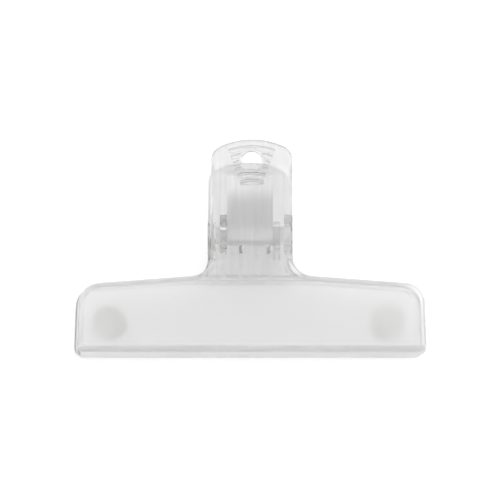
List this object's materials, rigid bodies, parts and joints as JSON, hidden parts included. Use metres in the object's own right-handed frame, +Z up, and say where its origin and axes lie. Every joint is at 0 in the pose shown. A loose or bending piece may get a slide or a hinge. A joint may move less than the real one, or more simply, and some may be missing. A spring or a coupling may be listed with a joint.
{
  "type": "magnetic bag clip",
  "caption": "Wide-jaw spring clip of translucent plastic with toothed lips, a bent leaf spring between ribbed handles with hanging holes, and disc magnets on its back.",
  "frame": {"origin": "centre of the base, on the table the clip lies on", "axes": "+Z up from the table, the front half on top; +Y from the toothed lips towards the handles; +X along the jaw"},
  "size_m": [0.1026, 0.0636, 0.0271],
  "materials": {
    "clear_plastic": "clear polystyrene, frosted on the jaw and polished on the handle",
    "spring_steel": "bright rolled spring steel",
    "magnet": "nickel-plated, smooth"
  },
  "bodies": {
    "back": {"back_half": "clear_plastic", "leaf_spring": "spring_steel", "magnet_left": "magnet", "magnet_right": "magnet"},
    "front": {"front_half": "clear_plastic"}
  },
  "joints": [
    {"name": "jaw_hinge", "type": "hinge", "parent": "back", "child": "front", "pos_m": [0, 0.00441, 0.01034], "axis": [-1, 0, 0], "range_deg": [0, 40], "stiffness_Nm_per_rad": 0.25, "springref_deg": -34.38, "deforming": ["leaf_spring"]}
  ]
}
